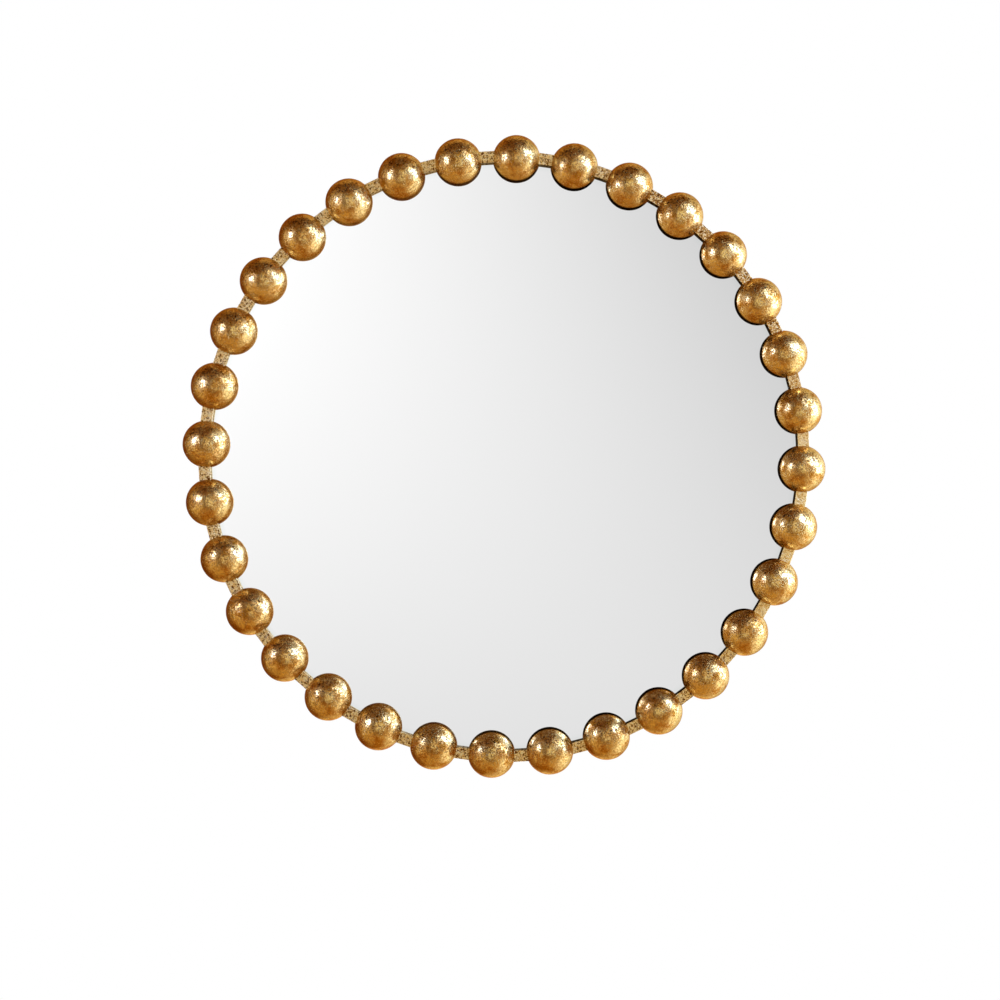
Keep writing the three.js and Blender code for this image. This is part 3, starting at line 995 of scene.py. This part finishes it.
def zincMaterial():
    # Mild steel, bright zinc plated: cool grey metal with soft spangle and fine handling scratches.
    material, tree = newMaterial("steel, bright zinc plated")
    place = addNode(tree, "TexCoord").outputs["Object"]
    spangle = addNode(tree, "TexVoronoi", {}, {"Vector": place, "Scale": 1000 / zinc["spangleWidth"]})
    scratches = drawnOut(tree, place, zinc["scratchTurn"], zinc["scratchLength"], zinc["scratchWidth"])
    cells = addNode(tree, "SeparateColor", {}, [spangle.outputs["Color"]])
    shade = addNode(tree, "MapRange", {}, [cells, 0.0, 1.0, *zinc["dullShares"]])
    tone = addNode(tree, "Mix", ofColours, [shade, linear(zinc["bright"]), linear(zinc["dull"])])
    rough = addNode(tree, "MapRange", {}, [scratches, *zinc["scratchRange"], *zinc["roughness"]])
    lines = addNode(tree, "Bump", {},
                    {"Height": scratches, "Distance": zinc["scratchDepth"], "Strength": 0.4})
    plating = addNode(tree, "BsdfPrincipled", {},
                      {"Base Color": tone, "Metallic": 1.0, "Roughness": rough, "Normal": lines})
    addNode(tree, "OutputMaterial", {}, [plating])
    return material


def loopPath():
    # From the butt in the middle of the straight side, round the crown and back, hanging from the origin.
    half, corner = loop["width"] / 2, loop["corner"]

    def cornerPoints(side, start):
        turns = [math.radians(start - 90 * i / loop["cornerSteps"]) for i in range(loop["cornerSteps"] + 1)]
        middle = side * (half - corner)
        return [Vector((middle + corner * math.cos(a), 0, corner * math.sin(a) - corner)) for a in turns]

    crownTurns = [math.pi * i / loop["crownSteps"] for i in range(loop["crownSteps"] + 1)]
    crown = [Vector((half * math.cos(a), 0, half - loop["length"] - half * math.sin(a))) for a in crownTurns]
    butt = Vector((loop["butt"] / 2, 0, 0))
    return [butt, *cornerPoints(1, 90), *crown, *cornerPoints(-1, 180), -butt]


def wireMesh(name, points, radius, sides):
    # A round wire along a flat path in the XZ plane.
    bm = bmesh.new()
    rings = []
    last = len(points) - 1
    for i, point in enumerate(points):
        along = (points[min(i + 1, last)] - points[max(i - 1, 0)]).normalized()
        outward = Vector((along.z, 0, -along.x))
        ring = []
        for k in range(sides):
            a = 2 * math.pi * k / sides
            spoke = math.cos(a) * outward + math.sin(a) * Vector((0, 1, 0))
            ring.append(bm.verts.new(point + radius * spoke))
        rings.append(ring)
    for near, far in zip(rings, rings[1:]):
        for k in range(sides):
            bm.faces.new((near[k], near[(k + 1) % sides], far[(k + 1) % sides], far[k]))
    bm.faces.new(rings[0])
    bm.faces.new(rings[-1])
    bmesh.ops.recalc_face_normals(bm, faces=bm.faces)
    mesh = meshFrom(bm, name)
    smoothMesh(mesh, 50)
    return mesh


def leanOf(name, hinge):
    # The hanging loop's lean out from the wall, read from its crown.
    points = [v.co for v in nodes[name].data.vertices]
    lowest = min(p.z for p in points)
    crown = [p for p in points if p.z < lowest + loop["wireDiameter"] / 2]
    middle = sum(crown, Vector()) / len(crown)
    return math.atan2(hinge.y - middle.y, hinge.z - middle.z)


def addLoops(plate):
    for joint in frame["joints"]:
        body = joint["child"]
        name = frame["record"]["behaviour"]["bodies"][body][0]
        hinge = Vector(joint["pos_m"])
        place = Matrix.Translation(hinge) @ Matrix.Rotation(-leanOf(name, hinge), 4, "X")
        mesh = wireMesh(name, loopPath(), loop["wireDiameter"] / 2, loop["sides"])
        piece = newPiece(name.replace("loop", "wire_loop"), mesh, plate, place)
        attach(piece, body)
        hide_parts(name)


def screwMesh():
    # A pan head with a cross recess on a pointed shank, its seat at y = 0 and its point towards the room.
    head, rise = screw["head"] / 2, screw["headHeight"]
    crest, root = screw["shank"] / 2, screw["shank"] / 2 - screw["threadDepth"]
    start = screw["point"] - screw["length"]
    profile = [(0, -screw["length"]), (root, start)]
    for i in range(int(-start / screw["pitch"]) - 1):
        y = start + screw["pitch"] * (i + 0.5)
        profile += [(crest, y), (root, y + screw["pitch"] / 2)]
    profile += [(crest, y + screw["pitch"] * 0.75), (crest, 0)]
    low, high = screw["headSide"]
    profile += [(head * screw["headSeat"], 0), (head, rise * low), (head, rise * high)]
    for i in range(1, screw["crownSteps"]):
        a = math.radians(90 * i / screw["crownSteps"])
        width = head * math.cos(a) ** screw["crownPower"]
        profile.append((width, rise * high + rise * (1 - high) * math.sin(a)))
    profile.append((0, rise))
    mesh = lathed("screwBlank", profile, screw["sides"])
    for turn in (0, 90):
        mesh = cutMesh(mesh, slotMesh(turn))
    smoothMesh(mesh, 30)
    return mesh


def slotMesh(turn):
    # One arm of the cross recess: a wedge that narrows towards its bottom.
    bm = bmesh.new()
    for vertex in bmesh.ops.create_cube(bm, size=1)["verts"]:
        top = vertex.co.y > 0
        x = vertex.co.x * screw["recessWidth"] * (1 if top else screw["recessTaper"])
        z = vertex.co.z * screw["slotWidth"] * (1 if top else screw["slotTaper"])
        y = screw["headHeight"] + 0.5 * mm if top else screw["headHeight"] - screw["recessDepth"]
        vertex.co = Matrix.Rotation(math.radians(turn), 3, "Y") @ Vector((x, y, z))
    return meshFrom(bm, "slot")


def addScrews(plate):
    mesh = screwMesh()
    names = sorted(name for name in nodes if "hanger_screw" in name)
    for name, turn in zip(names, screw["turns"]):
        low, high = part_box(name)
        middle = (low + high) / 2
        seat = Vector((middle.x, high.y - screw["headHeight"], middle.z))
        place = Matrix.Translation(seat) @ Matrix.Rotation(math.radians(turn), 4, "Y")
        piece = newPiece(name.replace("screw", "pan_screw"), mesh.copy(), plate, place)
        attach(piece, "mirror")
        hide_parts(name)


plate = zincMaterial()
for name in nodes:
    if name.startswith("board_tab"):
        easeEdges(dress(name, plate), tab["edgeRound"], 2)
    if name.endswith("hanger_strap"):
        easeEdges(dress(name, plate), strap["edgeRound"], 2)
addLoops(plate)
addScrews(plate)
print("hardware plated")


# Wall bumpers: moulded rubber

bumper = {
    "edge": 1.5 * mm,
    "edgeSteps": 6,
    "baseEdge": 0.2 * mm,
    "dimple": 5 * mm,
    "dimpleDepth": 0.5 * mm,
    "sides": 56,
    "rubber": "#232324",
    "bloom": "#3A3A3B",
    "bloomWidth": 5,  # mm
    "gritWidth": 0.6,  # mm
    "gritDepth": 0.03 * mm,
    "roughness": 0.7,
}


def rubberMaterial():
    # Nitrile rubber, moulded: near-black and matt, with a faint grey bloom.
    material, tree = newMaterial("black rubber, moulded")
    place = addNode(tree, "TexCoord").outputs["Object"]
    cloud = addNode(tree, "TexNoise", {},
                    {"Vector": place, "Scale": 1000 / bumper["bloomWidth"], "Detail": 5.0, "Roughness": 0.7})
    grit = addNode(tree, "TexNoise", {},
                   {"Vector": place, "Scale": 1000 / bumper["gritWidth"], "Detail": 1.0})
    tone = addNode(tree, "Mix", ofColours, [cloud, linear(bumper["rubber"]), linear(bumper["bloom"])])
    skin = addNode(tree, "Bump", {}, {"Height": grit, "Distance": bumper["gritDepth"], "Strength": 0.5})
    rubber = addNode(tree, "BsdfPrincipled", {},
                     {"Base Color": tone, "Roughness": bumper["roughness"], "Normal": skin})
    addNode(tree, "OutputMaterial", {}, [rubber])
    return material


def bumperProfile(radius, height):
    # From the glued base at y = -height to the face at y = 0, which has a shallow moulded dimple.
    edge, foot = bumper["edge"], bumper["baseEdge"]
    profile = [(0, -height), (radius - foot, -height), (radius, -height + foot), (radius, -edge)]
    for i in range(1, bumper["edgeSteps"] + 1):
        a = math.radians(90 * i / bumper["edgeSteps"])
        profile.append((radius - edge + edge * math.cos(a), -edge + edge * math.sin(a)))
    dimple, depth = bumper["dimple"] / 2, bumper["dimpleDepth"]
    return profile + [(dimple, 0), (dimple * 0.7, -depth * 0.7), (0, -depth)]


def addBumpers(rubber):
    for name in sorted(n for n in nodes if n.startswith("wall_bumper")):
        low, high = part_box(name)
        base = [v.co for v in nodes[name].data.vertices if v.co.y < low.y + 0.01 * mm]
        x, z = ((min(p[axis] for p in base) + max(p[axis] for p in base)) / 2 for axis in (0, 2))
        radius = (high.z - low.z) / 2
        mesh = lathed(name, bumperProfile(radius, high.y - low.y), bumper["sides"])
        smoothMesh(mesh, 50)
        piece = newPiece("moulded_" + name, mesh, rubber, Matrix.Translation((x, high.y, z)))
        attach(piece, "mirror")
        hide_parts(name)


addBumpers(rubberMaterial())
print("bumpers moulded")
